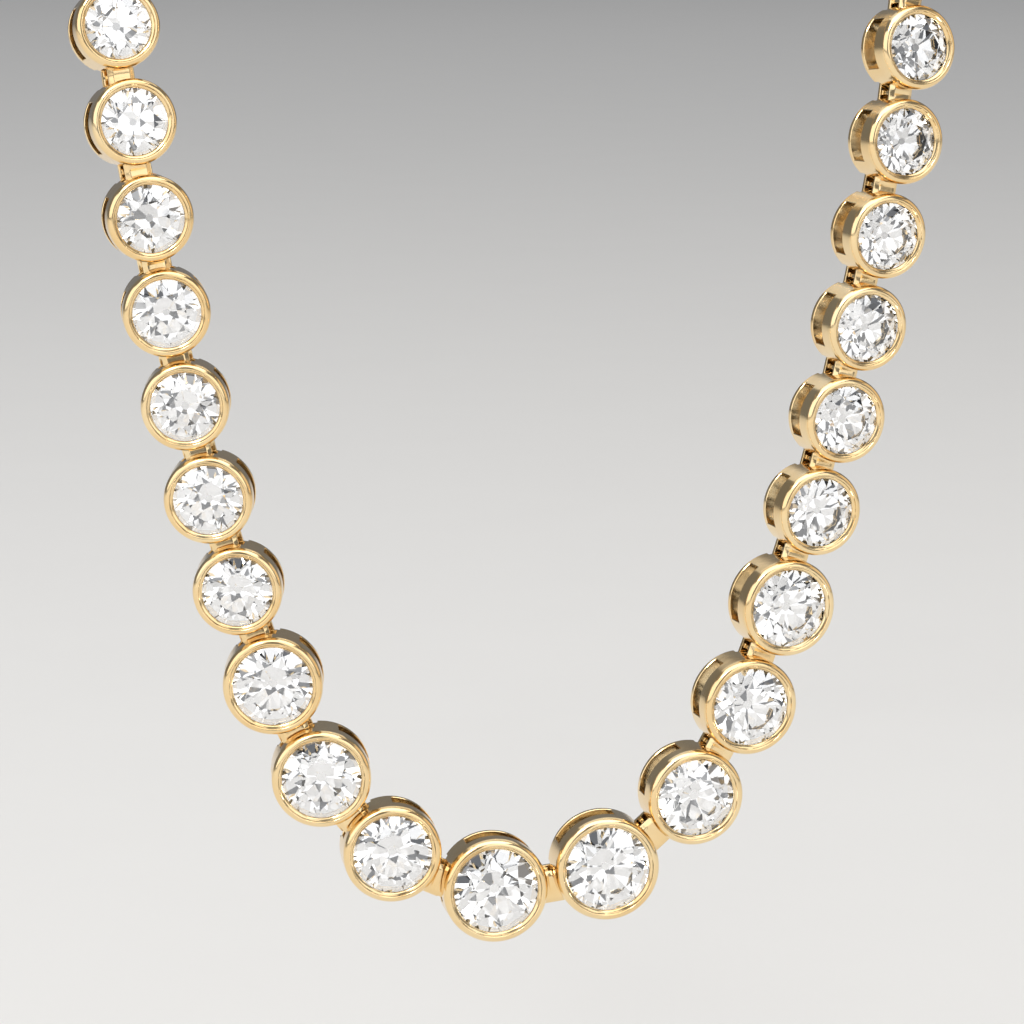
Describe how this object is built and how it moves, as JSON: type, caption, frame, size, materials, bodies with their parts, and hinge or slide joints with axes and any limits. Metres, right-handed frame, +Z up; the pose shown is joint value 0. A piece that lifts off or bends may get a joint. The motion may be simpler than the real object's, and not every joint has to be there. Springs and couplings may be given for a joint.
{
  "type": "riviere necklace",
  "caption": "Graduated necklace of round brilliant stones in closed round collets with side windows, joined by short hinge links and closed by a plain box clasp, hanging as worn.",
  "frame": {"origin": "centre of the neck that wears it, level with the clasp's hinge bars", "axes": "+Z up, -Y to the front, where the collets hang in a loop, +X to the viewer's right"},
  "size_m": [0.1046, 0.1046, 0.1247],
  "materials": {
    "gold": "polished",
    "diamond": "polished"
  },
  "bodies": {
    "root": {"collet_01": "gold", "collet_02": "gold", "collet_03": "gold", "collet_04": "gold", "collet_05": "gold", "collet_06": "gold", "collet_07": "gold", "collet_08": "gold", "collet_09": "gold", "collet_10": "gold", "collet_11": "gold", "collet_12": "gold", "collet_13": "gold", "collet_14": "gold", "collet_15": "gold", "collet_16": "gold", "collet_17": "gold", "collet_18": "gold", "collet_19": "gold", "collet_20": "gold", "left_collets": "gold", "right_collets": "gold", "left_links": "gold", "front_links": "gold", "right_links": "gold", "clasp": "gold", "stone_01": "diamond", "stone_02": "diamond", "stone_03": "diamond", "stone_04": "diamond", "stone_05": "diamond", "stone_06": "diamond", "stone_07": "diamond", "stone_08": "diamond", "stone_09": "diamond", "stone_10": "diamond", "stone_11": "diamond", "stone_12": "diamond", "stone_13": "diamond", "stone_14": "diamond", "stone_15": "diamond", "stone_16": "diamond", "stone_17": "diamond", "stone_18": "diamond", "stone_19": "diamond", "stone_20": "diamond", "left_stones": "diamond", "right_stones": "diamond"}
  },
  "joints": []
}
